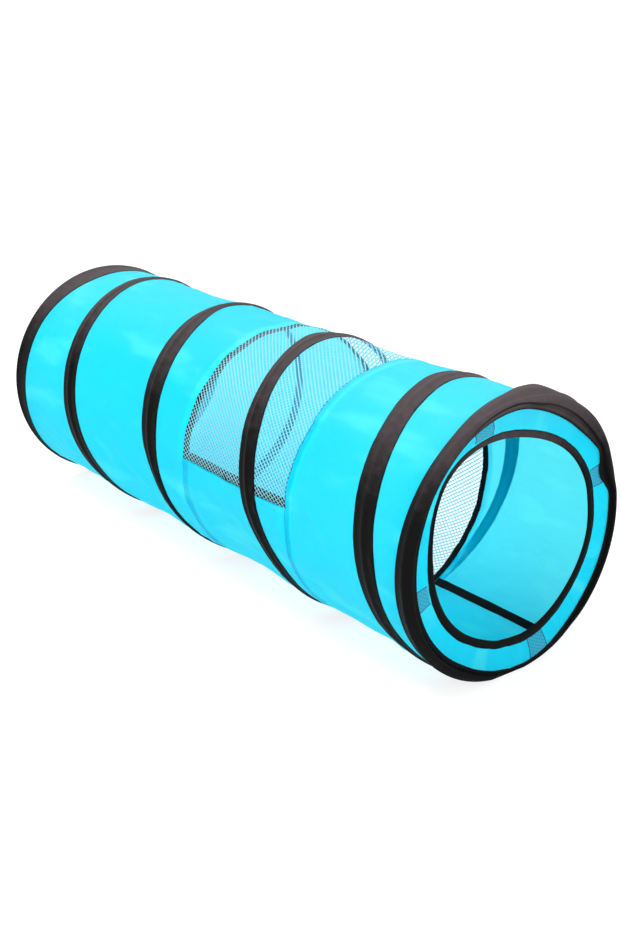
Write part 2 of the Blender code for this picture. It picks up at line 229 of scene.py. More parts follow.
def makeTaffeta():
    material, add = newMaterial("Cyan_polyester_taffeta_woven")
    uv = add("UVMap", {}, uv_map=clothMap)
    threads = {"Vector": uv, "Scale": waveBands / taffeta["threadSpacing"]}
    warp = add("TexWave", threads, bands_direction="X")
    weft = add("TexWave", threads, bands_direction="Y")
    weave = add("Math", {0: warp.outputs["Fac"], 1: weft.outputs["Fac"]}, operation="MULTIPLY")
    cloudy = add("TexNoise", {"Vector": uv, **taffeta["clouds"]})
    crinkled = add("TexNoise", {"Vector": uv, **taffeta["crinkles"]})
    long, wide = taffeta["streakSize"]
    lean = (0, 0, taffeta["streakLean"])
    leaning = add("Mapping", {"Vector": uv, "Rotation": lean, "Scale": (1 / long, 1 / wide, 1)})
    streaks = add("TexNoise", {"Vector": leaning, "Scale": 1.0, "Detail": 2.0, "Roughness": 0.5})
    # Painted sheen: pale streaks laid along the slanting folds
    low, high = taffeta["streakRange"]
    sheenStreaks = add(
        "MapRange", {0: streaks, 1: low, 2: high, 4: taffeta["streakMost"]}, interpolation_type="SMOOTHSTEP"
    )
    # Share of the painted top reflection, rising with height
    reflectionShare = topLightShare(add, streaks, taffeta["mottle"], *taffeta["topReflectionHeights"], taffeta["topReflectionMost"])
    colour = layColours(add, taffeta, ((cloudy, "shade"), (sheenStreaks, "streakSheen"), (reflectionShare, "topReflection")))
    normal = {}
    for height, name in ((weave, "threadBump"), (crinkled, "crinkleBump"), (streaks, "streakBump")):
        normal = {"Normal": add("Bump", {"Height": height, **taffeta[name], **normal})}
    surface = add("BsdfPrincipled", {"Base Color": colour, **taffeta["finish"], **normal})
    through = add("BsdfTranslucent", {"Color": linearColour(taffeta["through"]), **normal})
    along = add("SeparateXYZ", {0: uv}).outputs[0]
    letThrough = taffeta["throughShare"]
    seamEdges = {1: taffeta["seamHalf"], 2: taffeta["seamHalf"] + taffeta["seamBlur"]}
    for seam in (farSeam, nearSeam):
        away = distanceFrom(add, along, seam)
        layers = add("MapRange", {0: away, 3: taffeta["seamThrough"], 4: 1.0, **seamEdges})
        letThrough = add("Math", {0: layers, 1: letThrough}, operation="MULTIPLY")
    add("OutputMaterial", {"Surface": add("MixShader", {0: letThrough, 1: surface, 2: through})})
    return material


# Polyester tape, twill woven and dyed charcoal: matt, with a fine diagonal rib and darker selvedges that are
# stitched lines with painted edge shade, and a painted warm grey highlight on the side that lies upwards
twill = {
    "colour": "#060607",
    "worn": "#0D0C0D",
    "wear": {"Scale": 55, "Detail": 4.0, "Roughness": 0.6},
    # Painted warm grey highlight on the tape's upper side, laid by height
    "litTop": "#4C4446",
    "litTopHeights": (0.3, 0.48),
    "mottle": 0.1,
    # Stitched lines with painted shade, at the selvedges and in the lip's crease
    "edge": "#070709",
    "edgeWidth": 0.0026,
    "creaseReach": (0.0005, 0.0018),
    "creaseMost": 0.85,
    "ribSpacing": 0.00554,  # real ribs are 0.6 mm apart, drawn coarser so that they show
    "ribBump": {"Strength": 0.12, "Distance": 0.0004},
    "roughness": (0.52, 0.7),
    "finish": {"IOR": 1.5, "Specular IOR Level": 0.07, "Sheen Weight": 0.04, "Sheen Roughness": 0.35},
    "sheen": "#B4A6A2",
}


# A lip is the distance of a dark line from the tape's last edge: a stitched line with painted shade of the
# crease beside it
def makeTwill(name, width, lip=0):
    material, add = newMaterial(name)
    uv = add("UVMap", {}, uv_map=clothMap)
    ribs = {"Vector": uv, "Scale": slantBands / twill["ribSpacing"]}
    ribbed = add("TexWave", ribs, bands_direction="DIAGONAL")
    worn = add("TexNoise", {"Vector": uv, **twill["wear"]})
    across = add("SeparateXYZ", {0: uv}).outputs[0]
    # Darker selvedges: stitched lines with painted edge shade
    edges = {1: width / 2 - twill["edgeWidth"], 2: width / 2 - twill["edgeWidth"] / 4}
    edge = add("MapRange", {0: distanceFrom(add, across, width / 2), **edges})
    # Share of the painted top highlight
    litTop = topLightShare(add, worn, twill["mottle"], *twill["litTopHeights"])
    layers = [(worn, "worn"), (litTop, "litTop"), (edge, "edge")]
    if lip:
        inner, outer = twill["creaseReach"]
        away = distanceFrom(add, across, width - lip)
        crease = add("MapRange", {0: away, 1: inner, 2: outer, 3: twill["creaseMost"], 4: 0.0})
        layers.append((crease, "edge"))
    smoothest, roughest = twill["roughness"]
    surface = {
        "Base Color": layColours(add, twill, layers),
        "Roughness": add("MapRange", {0: worn, 3: smoothest, 4: roughest}),
        "Sheen Tint": linearColour(twill["sheen"]),
        "Normal": add("Bump", {"Height": ribbed.outputs["Fac"], **twill["ribBump"]}),
        **twill["finish"],
    }
    add("OutputMaterial", {"Surface": add("BsdfPrincipled", surface)})
    return material


# Polyester net, knitted and heat set: pale blue flat yarn that glows a little where light comes
# through
netYarn = {
    "colour": "#8CD4E4",
    "lit": "#9CE0EE",
    "through": "#A0E6F4",
    "throughShare": 0.4,
    "twist": 0.00283,
    "twistBump": {"Strength": 0.2, "Distance": 0.0002},
    "finish": {"Roughness": 0.6, "IOR": 1.5},
}


def makeNetYarn():
    material, add = newMaterial("Pale_blue_polyester_net_knitted")
    uv = add("UVMap", {}, uv_map=clothMap)
    twists = {"Vector": uv, "Scale": slantBands / netYarn["twist"]}
    strands = add("TexWave", twists, bands_direction="DIAGONAL").outputs["Fac"]
    colour = layColours(add, netYarn, ((strands, "lit"),))
    bump = add("Bump", {"Height": strands, **netYarn["twistBump"]})
    surface = add("BsdfPrincipled", {"Base Color": colour, "Normal": bump, **netYarn["finish"]})
    through = add("BsdfTranslucent", {"Color": linearColour(netYarn["through"])})
    mixed = add("MixShader", {0: netYarn["throughShare"], 1: surface, 2: through})
    add("OutputMaterial", {"Surface": mixed})
    return material


# Nylon loop pile, knitted and brushed: deep blue-green and fuzzy, quilted crosswise and with dark
# stitched borders
loopPile = {
    "colour": "#1CA6C4",
    "deep": "#1288A6",
    "border": "#0A5470",
    "borderWidth": 0.0022,
    "quilting": 0.0055,
    "quiltLine": 0.35,
    "loopSize": 0.0012,
    "loopBump": {"Strength": 0.5, "Distance": 0.0006},
    "finish": {"Roughness": 0.9, "Sheen Weight": 0.15, "Sheen Roughness": 0.4},
}


def makeLoopPile(width):
    material, add = newMaterial("Blue_nylon_loop_pile_brushed")
    uv = add("UVMap", {}, uv_map=clothMap)
    loops = add("TexVoronoi", {"Vector": uv, "Scale": 1 / loopPile["loopSize"], "Randomness": 0.9})
    slanted = add("Mapping", {"Vector": uv, "Rotation": (0, 0, math.radians(45))})
    quilting = {"Vector": slanted, "Scale": waveBands / loopPile["quilting"]}
    rising, falling = (add("TexWave", quilting, bands_direction=axis).outputs["Fac"] for axis in "XY")
    quilted = add("Math", {0: rising, 1: falling}, operation="MINIMUM")
    lines = add("MapRange", {0: quilted, 1: 0.0, 2: loopPile["quiltLine"], 3: 1.0, 4: 0.0})
    away = distanceFrom(add, add("SeparateXYZ", {0: uv}).outputs[1], 0.0)
    borders = {1: width / 2 - loopPile["borderWidth"], 2: width / 2 - loopPile["borderWidth"] / 2}
    border = add("MapRange", {0: away, **borders})
    colour = layColours(add, loopPile, ((lines, "deep"), (border, "border")))
    bump = add("Bump", {"Height": loops, **loopPile["loopBump"]})
    surface = add("BsdfPrincipled", {"Base Color": colour, "Normal": bump, **loopPile["finish"]})
    add("OutputMaterial", {"Surface": surface})
    return material


# Spring steel, cold drawn: grey metal with a fine grain, a little dull
# Mild steel, stamped and crimped: brighter, with a coarser zinc mottle
steels = {
    "Spring_steel_drawn": {"colour": "#A3A5A8", "dull": "#85888B", "roughness": (0.26, 0.46), "scale": 900},
    "Zinc_steel_crimped": {"colour": "#C4C7C9", "dull": "#A4A8AB", "roughness": (0.32, 0.52), "scale": 260},
}
steelBump = {"Strength": 0.1, "Distance": 0.0001}


def makeSteel(name):
    plan = steels[name]
    material, add = newMaterial(name)
    place = add("TexCoord", {}).outputs["Object"]
    grain = add("TexNoise", {"Vector": place, "Scale": plan["scale"], "Detail": 3.0})
    smoothest, roughest = plan["roughness"]
    surface = {
        "Base Color": layColours(add, plan, ((grain, "dull"),)),
        "Roughness": add("MapRange", {0: grain, 3: smoothest, 4: roughest}),
        "Metallic": 1.0,
        "Normal": add("Bump", {"Height": grain, **steelBump}),
    }
    add("OutputMaterial", {"Surface": add("BsdfPrincipled", surface)})
    return material


cyanTaffeta = makeTaffeta()
coilTwill = makeTwill("Charcoal_polyester_tape_twill", tunnel["tapeWidth"])
blueNet = makeNetYarn()
drawnSteel, crimpedSteel = (makeSteel(name) for name in steels)
print("materials made")


# Tools for the round cloth
def smooth(low, high, value):
    share = np.clip((value - low) / (high - low), 0, 1)
    return share * share * (3 - 2 * share)


# A soft hump, or with a minus a dip, round a middle value
def hump(value, middle, width):
    return np.exp(-(((value - middle) / width) ** 2))


def humps(value, rows):
    return sum(height * hump(value, middle, width) for height, middle, width in rows)


# Rises over one pair of values and falls over the other
def window(value, rise, fall):
    return smooth(*rise, value) * smooth(*fall, value)


# Angles once round the tunnel, from its bottom
def roundAngles(steps):
    return np.linspace(bottom, bottom + fullTurn, steps + 1)[:, None]


def roundPoints(x, radius, angle):
    rise = np.maximum(np.sin(angle), -math.cos(flatHalfAngle))
    x, radius, angle, rise = np.broadcast_arrays(x, radius, angle, rise)
    return np.stack([x, radius * np.cos(angle), axisHeight + radius * rise], -1)


# Noise at three places, each a length over the noise's own size. Where a place is a plain number,
# that only picks one pattern from many.
def noiseAt(*parts):
    parts = np.broadcast_arrays(*parts)
    places = np.stack(parts, -1).reshape(-1, 3)
    values = np.array([noise.noise(Vector(place)) for place in places])
    return values.reshape(parts[0].shape)


# Noise that closes on itself round the tunnel. A twist leans its ripples like thread on a screw.
def roundNoise(x, angle, along, around, twist=0, seed=0):
    turned = angle + x * twist
    across, up = skinRadius * np.cos(turned) / around, skinRadius * np.sin(turned) / around
    return noiseAt(x / along + seed * 7.31, across, up)


# Reads a table of places and values, rounding its corners over a width given in the places' unit
def eased(value, places, values, width):
    steps = np.linspace(-1, 1, 7) * width
    return sum(np.interp(value + step, places, values) for step in steps) / len(steps)


# The same for a table of degrees round the tunnel, from -90 to 270, and values
def roundTable(table, angle):
    degrees = (np.degrees(angle) + 90) % 360 - 90
    return eased(degrees, *zip(*table), 4)


# A piece that takes the place of one of the frame's
def meshPiece(name, replaced, points, faces, uv, material):
    mesh = bpy.data.meshes.new(name)
    mesh.from_pydata(points.tolist(), [], faces.tolist())
    layer = mesh.uv_layers.new(name=clothMap)
    corners = np.empty(len(mesh.loops), np.int32)
    mesh.loops.foreach_get("vertex_index", corners)
    layer.data.foreach_set("uv", uv[corners].astype(np.float32).ravel())
    mesh.shade_smooth()
    mesh.materials.append(material)
    piece = addObject(name, mesh)
    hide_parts(replaced)
    return piece


# A sheet with a row of points for each step along it, named like what it replaces with an ending
def gridPiece(replaced, ending, points, across, along, material):
    uv = np.stack(np.broadcast_arrays(across, along), -1).reshape(-1, 2)
    rows, columns = points.shape[:2]
    index = np.arange(rows * columns).reshape(rows, columns)
    faces = np.stack([index[:-1, :-1], index[:-1, 1:], index[1:, 1:], index[1:, :-1]], -1).reshape(-1, 4)
    return meshPiece(replaced + ending, replaced, points.reshape(-1, 3), faces, uv, material)


# A round wire along points whose x, radius and angle are given
def wirePiece(replaced, x, radius, angle, wireRadius, along):
    around = np.linspace(0, fullTurn, 9)[None, :]
    points = roundPoints(x + wireRadius * np.cos(around), radius + wireRadius * np.sin(around), angle)
    return gridPiece(replaced, "_drawn", points, wireRadius * around, along, drawnSteel)


# Everything between the hoops rides with the near end, each piece with a mesh of its own
def foldUp(piece):
    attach(piece, "near_end")
    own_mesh(piece)


# Coil: where the wire runs, and where its wide tape is bunched up or pulled aside. Each row gives
# the turn, then how far the tape's rear and front edges lie from where an even coil has them, in mm.
coil = {
    "wireRadius": 0.0011,
    "clear": 0.0003,
    "endInset": 0.0053,
    "endRadius": 0.2252,
    "wireRows": 320,
    "edgeBlur": 0.014,
    "edges": (
        (0.0, 0, 0), (0.2, 8, -8), (0.42, 2, -20), (0.5, -8, -22), (0.556, -9, -17), (0.611, -10, -12),
        (0.667, -11, -9), (0.75, -14, -6), (0.806, -16, -2), (0.833, -14, 3), (0.9, -2, 4), (1.0, 0, 0),
        (1.2, 10, -10), (1.42, 2, -20), (1.5, -8, -28), (1.528, -10, -22), (1.556, -14, -14),
        (1.583, -14, -9), (1.639, -14, -5), (1.722, -13, -5), (1.75, -10, -9), (1.778, -1, -14),
        (1.833, -3, -20), (1.9, 0, -16), (2.0, 6, -6), (2.2, 12, -10), (2.4, 4, -12), (2.5, -28, -24),
        (2.528, -21, -24), (2.556, -15, -22), (2.583, -11, -22), (2.611, -9, -17), (2.667, -7, -6),
        (2.722, -3, -2), (2.75, -2, -4), (2.778, 4, 4), (2.806, 14, 10), (2.833, 20, 19), (2.9, 12, 8),
        (3.0, 4, -4), (3.12, 11, -11), (3.22, 9, -9), (3.34, 3, -3), (3.44, -3, -2), (3.5, -12, -11),
        (3.556, -8, -8), (3.611, -5, -4), (3.667, -6, -2), (3.75, -9, -6), (3.806, -11, -13),
        (3.833, -14, -14), (3.9, -6, -4), (4.0, 0, 0),
    ),
}
turnsKnown, rearShifts, frontShifts = zip(*coil["edges"])
coilEnds = (flatHalfAngle, tunnel["coilTurns"] * fullTurn - flatHalfAngle)


# How far along the tunnel the tape's rear and front edges are, at an angle turned from the far end
def tapeEdges(turned):
    turns = turned / fullTurn
    middle = tunnel["farCoilInset"] - halfLength + pitch * turns
    half = tunnel["tapeWidth"] / 2
    rear = eased(turns, turnsKnown, rearShifts, coil["edgeBlur"]) / 1000
    front = eased(turns, turnsKnown, frontShifts, coil["edgeBlur"]) / 1000
    return middle - half + rear, middle + half + front


# End hoops' bindings: the sizes come first, because the walls' cloth is free only beyond them.
# Each pair gives degrees round the hoop and a size in mm: how wide the legs on the wall and on the end
# face are, how far the wall leg puffs out between its edges, and how far out the corner stands. The
# valley is a share: how deep the cloth dips between the puff and the flat lip on the face.
noChange = ((-90, 0), (270, 0))
nearBinding = {
    "wallLeg": (
        (-90, 20), (0, 20), (13, 21), (16, 21), (26, 26), (30, 30), (60, 54), (70, 58), (80, 58), (90, 46),
        (100, 37), (110, 30.5), (120, 23.5), (130, 20.5), (150, 20.5), (160, 21.5), (180, 23), (210, 23),
        (240, 20), (270, 20),
    ),
    "faceLeg": (
        (-90, 10), (-80, 10), (-70, 9), (-50, 17), (-40, 19), (0, 20), (13, 19), (16, 34), (26, 34),
        (30, 19), (40, 25), (50, 29), (60, 27.5), (70, 25), (80, 20.5), (90, 15), (100, 14), (110, 14),
        (120, 15), (130, 17.5), (150, 21.5), (160, 25), (180, 26), (210, 25), (240, 25), (260, 18),
        (270, 10),
    ),
    "puff": (
        (-90, 0), (-80, 0), (-60, 3), (-40, 1), (0, 0), (26, 0), (30, 1), (50, 11), (60, 14), (70, 16),
        (80, 14), (90, 9), (100, 5), (110, 2), (120, 0.5), (130, 0), (270, 0),
    ),
    "valley": (
        (-90, 0), (16, 0), (26, 0.2), (30, 0.6), (40, 1), (50, 0.9), (60, 0.5), (70, 0.3), (90, 0), (270, 0),
    ),
    "out": (
        (-90, 0), (-80, 0), (-70, 2.5), (-60, 4), (-40, 0), (40, 0), (50, 3), (70, 5), (80, 2), (90, 0),
        (270, 0),
    ),
}
farBinding = {
    "wallLeg": (
        (-90, 38), (40, 40), (90, 60), (105, 62), (125, 50), (140, 43), (165, 41), (180, 37), (190, 33),
        (200, 28), (206, 24), (214, 18), (225, 18), (240, 26), (270, 38),
    ),
    "faceLeg": ((-90, 18), (270, 18)),
    "puff": noChange,
    "valley": noChange,
    "out": noChange,
}


# Walls. A fold's reach is how far from its tape or seam it dies out, and its end is where it stops.
folds = {
    "broad": 0.0042,
    "broadLength": 0.16,
    "broadWidth": 0.06,
    "broadRise": 0.05,  # how far from a tape the broad folds have their whole height
    "lean": 2.6,
    "pucker": 0.0034,
    "puckerLength": 0.019,
    "puckerDepth": 0.03,
    "puckerReach": 0.009,
    "puckerEnd": 0.05,
    "puckerRise": (0.001, 0.008),
    "edgeRise": (0, 0.01),
    "seamPucker": 0.0018,
    "seamPuckerLength": 0.0085,
    "seamPuckerDepth": 0.02,
    "seamReach": 0.009,
    "seamEnd": 0.04,
    "singleEnd": 0.09,
    "singleRise": (0.002, 0.02),
    "singleShape": ((1, 0, 1), (-0.6, 1.4, 1)),  # a ridge with a shallower dip beside it
}
wallGrid = {"along": 0.0045, "around": 360, "seamGap": 0.0002, "hoopGap": 0.0018}
# Single folds: place along the tunnel (m), angle (degrees), half length and half width (mm), how far
# the fold leans from the tunnel's line (degrees) and its height (mm)
singleFolds = (
    (-0.545, 150, 26, 6, 62, 3.0), (-0.525, 138, 30, 7, 55, -2.4), (-0.5, 158, 24, 6, 70, 2.8),
    (-0.487, 128, 22, 6, 48, 2.2), (-0.54, 182, 30, 7, 40, 2.0), (-0.375, 140, 34, 8, 58, 3.0),
    (-0.345, 126, 28, 7, 50, 2.6), (-0.33, 152, 30, 7, 66, -2.4), (-0.4, 172, 36, 8, 44, 2.2),
    (-0.13, 128, 24, 6, 60, 2.4), (-0.1, 150, 30, 7, 52, 2.8), (-0.075, 176, 34, 8, 64, 2.2),
    (-0.02, 136, 22, 6, 74, 2.2), (0.2, 196, 40, 8, 34, 2.4), (0.26, 212, 36, 8, 28, 2.0),
    (0.36, 138, 34, 6, 18, 3.2), (0.385, 150, 30, 7, 26, -2.2), (0.41, 176, 34, 8, 46, 2.4),
    (0.37, 205, 32, 8, 38, 2.2), (0.545, 120, 24, 6, 56, 2.4), (0.53, 152, 26, 6, 50, 2.2),
    (0.36, 40, 34, 8, 58, 2.6), (-0.36, 30, 36, 8, 52, 2.6), (-0.1, 60, 34, 8, 46, 2.4),
    (-0.5, 60, 30, 7, 60, 2.6), (0.53, 20, 28, 7, 54, 2.4), (-0.36, 330, 34, 8, 48, 2.2),
    (0.4, 340, 34, 8, 40, 2.2),
)


# Where the cloth is free at an angle: from one edge of the coil's tape to the next, or to a hoop
def freeSpans(angle):
    wrapped = (angle - bottom) % fullTurn
    edges = [tapeEdges(wrapped + fullTurn * turn) for turn in range(tunnel["coilTurns"])]
    farEdge = roundTable(farBinding["wallLeg"], angle) / 1000 - halfLength
    nearEdge = halfLength - roundTable(nearBinding["wallLeg"], angle) / 1000
    starts = [farEdge] + [np.maximum(front, farEdge) for rear, front in edges]
    ends = [np.minimum(rear, nearEdge) for rear, front in edges] + [nearEdge]
    return np.stack(starts, -1), np.stack(ends, -1), wrapped


# The cloth sags between one tape and the next, and the net does so more
def sagDepth(x, starts, ends):
    width = np.maximum(ends - starts, 0.000001)
    across = np.clip((x[..., None] - starts) / width, 0, 1)
    netShare = np.clip((x - farSeam) / (nearSeam - farSeam), 0, 1)
    depth = tunnel["clothSag"] + (tunnel["meshSag"] - tunnel["clothSag"]) * np.sin(math.pi * netShare)
    span = width / (pitch - tunnel["tapeWidth"])
    return (depth[..., None] * span * span * 4 * across * (1 - across) * (ends > starts)).sum(-1)


def broadFolds(x, angle, free):
    length, width, lean = folds["broadLength"], folds["broadWidth"], folds["lean"]
    waves = roundNoise(x, angle, length, width, lean)
    waves += 0.5 * roundNoise(x, angle, length / 2, width / 2, -lean, 3)
    return folds["broad"] * waves * smooth(0, folds["broadRise"], free)


# Small gathers along both edges of every free span
def addTapePuckers(lift, wrapped, toStart, toEnd):
    for span in range(toStart.shape[-1]):
        for side, gone, left in ((0, toStart, toEnd), (1, toEnd, toStart)):
            gone, left = gone[..., span], left[..., span]
            near = (gone > 0) & (left > 0) & (gone < folds["puckerEnd"])
            gone, left = gone[near], left[near]
            along = skinRadius * (wrapped[near] + fullTurn * (span - 1 + side))
            bump = noiseAt(along / folds["puckerLength"], gone / folds["puckerDepth"], side * 9.7 + 0.3)
            reach = gone / folds["puckerReach"]
            shape = reach * np.exp(1 - reach) * smooth(*folds["edgeRise"], left)
            shape *= smooth(*folds["puckerRise"], gone)
            lift[near] += folds["pucker"] * bump * shape


def addSingleFolds(lift, x, angle, free):
    for placeX, degrees, length, width, lean, height in singleFolds:
        offX = x - placeX
        offArc = skinRadius * ((angle - math.radians(degrees) + math.pi) % fullTurn - math.pi)
        near = (np.abs(offX) < folds["singleEnd"]) & (np.abs(offArc) < folds["singleEnd"])
        offX, offArc = offX[near] * 1000, offArc[near] * 1000
        forward, aside = math.cos(math.radians(lean)), math.sin(math.radians(lean))
        down = (offX * forward + offArc * aside) / length
        beside = (offArc * forward - offX * aside) / width
        shape = hump(down, 0, 1) * humps(beside, folds["singleShape"])
        lift[near] += height / 1000 * shape * smooth(*folds["singleRise"], free[near])


def addSeamPuckers(lift, x, angle, free):
    for seam in (farSeam, nearSeam):
        away = np.abs(x - seam)
        near = (away < folds["seamEnd"]) & (free > 0)
        away = away[near]
        arc = skinRadius * angle[near]
        bump = noiseAt(arc / folds["seamPuckerLength"], seam * 9, away / folds["seamPuckerDepth"])
        shape = np.exp(-away / folds["seamReach"]) * smooth(*folds["edgeRise"], free[near])
        lift[near] += folds["seamPucker"] * bump * shape


def wallRadius(x, angle, foldShare=1.0):
    x, angle = np.broadcast_arrays(x, angle)
    starts, ends, wrapped = freeSpans(angle)
    toStart, toEnd = x[..., None] - starts, ends - x[..., None]
    free = np.clip(np.minimum(toStart, toEnd).max(-1), 0, None)
    lift = broadFolds(x, angle, free)
    addTapePuckers(lift, wrapped, toStart, toEnd)
    addSingleFolds(lift, x, angle, free)
    addSeamPuckers(lift, x, angle, free)
    return skinRadius - sagDepth(x, starts, ends) + lift * foldShare


def wallPiece(name, startX, endX, startAngle=bottom, endAngle=bottom + fullTurn):
    columns = round((endX - startX) / wallGrid["along"])
    rows = round((endAngle - startAngle) / fullTurn * wallGrid["around"])
    x = np.linspace(startX, endX, columns + 1)[None, :]
    angle = np.linspace(startAngle, endAngle, rows + 1)[:, None]
    points = roundPoints(x, wallRadius(x, angle), angle)
    piece = gridPiece(name, "_taffeta", points, x, skinRadius * angle, cyanTaffeta)
    foldUp(piece)
    return piece


wallEnd = halfLength - wallGrid["hoopGap"]
seamGap = wallGrid["seamGap"]
farWall = wallPiece("far_wall", -wallEnd, farSeam - seamGap)
nearWall = wallPiece("near_wall", nearSeam + seamGap, wallEnd)
panelEnds = (farSeam + seamGap, nearSeam - seamGap)
floorPanel = wallPiece("floor_panel", *panelEnds, lowEdge, seamAngle + fullTurn)
print("walls made")


# Net window: two crossing rows of flat yarn. Real holes are near 1.5 mm, drawn at the size that
# shows in the view. The net's folds are a share of the cloth's.
netPlan = {
    "spacing": 0.0062,
    "widths": (0.0024, 0.0013),
    "lean": math.radians(37),
    "lift": 0.00012,
    "step": 0.016,
    "shortest": 0.004,
    "foldShare": 0.6,
}


def makeNet():
    width = nearSeam - farSeam
    around = skinRadius * (lowEdge - seamAngle)
    xs, arcs, lifts, ups, quads = [], [], [], [], []
    alongX, alongArc = math.cos(netPlan["lean"]), math.sin(netPlan["lean"])
    step = netPlan["spacing"] / alongX
    count = 0
    for side, yarnWidth in zip((1, -1), netPlan["widths"]):
        # a yarn keeps arc - slope * x the same all along
        slope = side * alongArc / alongX
        half = yarnWidth / 2
        lowest = min(0, -slope * width)
        for yarn in range(int((around + abs(slope) * width) / step)):
            start = lowest + (yarn + 0.5) * step
            ends = sorted((-start / slope, (around - start) / slope))
            low, high = max(0, ends[0]), min(width, ends[1])
            if high - low < netPlan["shortest"]:
                continue
            steps = max(1, round((high - low) / alongX / netPlan["step"]))
            x = np.linspace(low, high, steps + 1)
            for sign in (-1, 1):
                xs.append(x - sign * side * half * alongArc)
                arcs.append(start + slope * x + sign * half * alongX)
                lifts.append(np.full(len(x), side * netPlan["lift"]))
                ups.append(np.stack([np.full(len(x), sign * half), x / alongX], -1))
            index = count + np.arange(steps)
            quads.append(np.stack([index, index + 1, index + steps + 2, index + steps + 1], -1))
            count += 2 * (steps + 1)
    x = np.clip(np.concatenate(xs), 0, width) + farSeam
    angle = seamAngle + np.clip(np.concatenate(arcs), 0, around) / skinRadius
    points = roundPoints(x, wallRadius(x, angle, netPlan["foldShare"]) + np.concatenate(lifts), angle)
    faces, uv = np.concatenate(quads), np.concatenate(ups)
    piece = meshPiece("mesh_window", "mesh_panel", points, faces, uv, blueNet)
    foldUp(piece)
    return piece


net = makeNet()
print("net made:", len(net.data.polygons), "faces")


# The wide tape over the coil's wire. Shares run from its middle, 0, to an edge, 1. Gathered gives how
# much the tape is wrinkled, at which turn and how far, and folded the turn and reach of a long fold
# and its share across the tape.
tapePlan = {
    "step": 0.0045,
    "shares": (0, 0.07, 0.15, 0.22, 0.3, 0.38, 0.48, 0.6, 0.76, 0.91, 0.985, 1),
    "edgeShares": (0.3, 1),
    "creaseShares": ((0.15, 0.8), (1.0, 0.93)),
    "gatherShares": (-0.2, 0.6),
    "gap": 0.0002,
    "leastGap": 0.0004,
    "depths": ((0.0006, 0.97), (0.0003, 0.9)),  # two layers, and the share where each starts to thin
    "lift": 0.0025,
    "ridge": 0.0062,
    "wave": 0.0009,
    "waveLength": 0.05,
    "wobble": 0.0005,
    "wobbleLength": 0.011,
    "crease": 0.0006,
    "creaseSize": (0.012, 0.05),
    "gather": 0.0024,
    "gathered": ((1, 1.72, 0.12), (1, 2.72, 0.16), (1, 3.74, 0.16)),
    "pleat": 0.16,  # where it is drawn in, the spare cloth stands in a pleat
    "pleatShare": (0.42, 0.2),
    "fold": 0.0034,
    "folded": ((1.62, 0.11, 0.05), (0.64, 0.1, 0.1), (2.62, 0.09, 0.0)),
    "foldShape": ((1, 0, 0.26), (-0.75, 0.2, 0.07)),
    "foldWander": (0.1, 0.07),
    "underBinding": 0.004,
}


def makeCoilTape():
    rows = round(tunnel["coilTurns"] * fullTurn * skinRadius / tapePlan["step"])
    turned = np.linspace(*coilEnds, rows + 1)[:, None]
    turns = turned / fullTurn
    along = skinRadius * turned
    away = np.array(tapePlan["shares"])
    shares = np.concatenate([-away[:0:-1], away])[None, :]
    away = np.abs(shares)
    side = np.sign(shares)
    rear, front = tapeEdges(turned)
    middle = (rear + front) / 2
    half = (front - rear) / 2
    edgeWave = tapePlan["wave"] * noiseAt(along / tapePlan["waveLength"], 1.7, side * 3)
    edgeWave += tapePlan["wobble"] * noiseAt(along / tapePlan["wobbleLength"], 5.7, side * 3)
    offsets = half * shares + edgeWave * side * smooth(*tapePlan["edgeShares"], away)
    lowest = tunnel["farWallLeg"] - halfLength - tapePlan["underBinding"]
    highest = halfLength - tunnel["nearWallLeg"] + tapePlan["underBinding"]
    x = np.clip(middle + offsets, lowest, highest)
    bunched = humps(turns, tapePlan["gathered"]) * smooth(*tapePlan["gatherShares"], shares)
    creaseLength, creaseWidth = tapePlan["creaseSize"]
    crease = noiseAt(along / creaseLength, offsets / creaseWidth, 4.1)
    crease = crease * (tapePlan["crease"] + tapePlan["gather"] * bunched)
    crease = crease * window(away, *tapePlan["creaseShares"])
    spare = np.clip(tunnel["tapeWidth"] / 2 - half, 0, None)
    pleat = tapePlan["pleat"] * spare * hump(shares, *tapePlan["pleatShare"])
    body = sum(depth * smooth(1.0, start, away) for depth, start in tapePlan["depths"])
    wander, wanderLength = tapePlan["foldWander"]
    for place, spread, middleShare in tapePlan["folded"]:
        beside = shares - middleShare - wander * noiseAt(along / wanderLength, 8.3, place)
        shape = humps(beside, tapePlan["foldShape"]) * hump(turns, place, spread)
        body = body + tapePlan["fold"] * shape
    ridge = tapePlan["lift"] * hump(x, middle, tapePlan["ridge"])
    lift = np.maximum(tapePlan["gap"] + body + ridge + crease + pleat, tapePlan["leastGap"])
    points = roundPoints(x, skinRadius + lift, bottom + turned)
    across = tunnel["tapeWidth"] * (shares + 1) / 2
    piece = gridPiece("coil_tape", "_twill", points, across, along, coilTwill)
    foldUp(piece)
    return piece


# The wire lies under the middle of the tape, and inside a binding it moves out to the hoop
def makeCoilWire():
    turned = np.linspace(*coilEnds, coil["wireRows"] + 1)[:, None]
    x = sum(tapeEdges(turned)) / 2
    leg = np.where(x > 0, tunnel["nearWallLeg"], tunnel["farWallLeg"])
    inset = np.where(x > 0, tunnel["nearCoilInset"], tunnel["farCoilInset"])
    inside = np.clip((leg - halfLength + np.abs(x)) / (leg - inset), 0, 1)
    x = x + np.sign(x) * (inset - coil["endInset"]) * inside
    free = skinRadius + coil["clear"] + coil["wireRadius"]
    radius = free + (coil["endRadius"] - free) * inside
    foldUp(wirePiece("coil_wire", x, radius, bottom + turned, coil["wireRadius"], skinRadius * turned))


coilTape = makeCoilTape()
makeCoilWire()
print("coil made")


# Seam tapes, all on the inside
seamTape = {
    "width": 0.018,
    "nearWidth": 0.0125,
    "longWidth": 0.016,
    "overlap": 0.002,
    "depth": 0.0009,
    "gap": 0.001,
    "wave": 0.0005,
    "stepAcross": 0.003,
    "stepAlong": 0.0045,
}
seamTwill = makeTwill("Black_polyester_seam_tape_twill", seamTape["width"])


